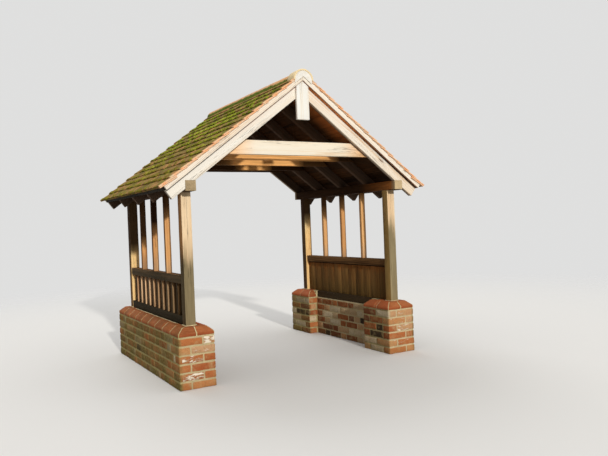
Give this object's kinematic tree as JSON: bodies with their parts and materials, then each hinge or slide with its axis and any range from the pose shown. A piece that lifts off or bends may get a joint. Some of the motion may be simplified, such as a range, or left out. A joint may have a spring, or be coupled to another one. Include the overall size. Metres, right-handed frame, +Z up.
{
  "type": "lychgate",
  "caption": "Timber lychgate: open oak frame with boarded side panels on two brick dwarf walls, under a gabled roof of plain clay tiles with a half-round ridge.",
  "frame": {"origin": "on the ground, at the middle of the passage", "axes": "+X to the right across the passage, seen from the front; the front gable faces -Y and the passage runs along Y; +Z up"},
  "size_m": [2.825, 2.21, 2.8048],
  "materials": {
    "brick": "weathered reclaimed brick in buff mortar",
    "coping_brick": "smooth red brick",
    "timber": "weathered oak",
    "pale_timber": "sun-bleached oak",
    "dark_timber": "dark weathered oak",
    "roof_tile": "mossy clay tile",
    "ridge_tile": "clay tile",
    "mortar": "lime mortar"
  },
  "bodies": {
    "root": {"left_front_pier": "brick", "left_wall": "brick", "left_rear_pier": "brick", "left_coping": "coping_brick", "left_sill": "dark_timber", "left_front_post": "timber", "left_rear_post": "timber", "left_studs": "timber", "left_bottom_rail": "dark_timber", "left_mid_rail": "timber", "left_panel_boards": "dark_timber", "left_panel_bars": "timber", "left_plate": "dark_timber", "right_front_pier": "brick", "right_wall": "brick", "right_rear_pier": "brick", "right_coping": "coping_brick", "right_sill": "dark_timber", "right_front_post": "timber", "right_rear_post": "timber", "right_studs": "timber", "right_bottom_rail": "dark_timber", "right_mid_rail": "timber", "right_panel_boards": "dark_timber", "right_panel_bars": "timber", "right_plate": "dark_timber", "left_rafters": "pale_timber", "right_rafters": "pale_timber", "collars": "pale_timber", "left_roof_boarding": "dark_timber", "right_roof_boarding": "dark_timber", "left_tiles": "roof_tile", "right_tiles": "roof_tile", "ridge_tiles": "ridge_tile", "ridge_mortar": "mortar", "left_eaves_board": "timber", "right_eaves_board": "timber", "front_left_barge": "pale_timber", "front_right_barge": "pale_timber", "rear_left_barge": "pale_timber", "rear_right_barge": "pale_timber", "front_pendant": "pale_timber", "rear_pendant": "pale_timber"}
  },
  "joints": []
}
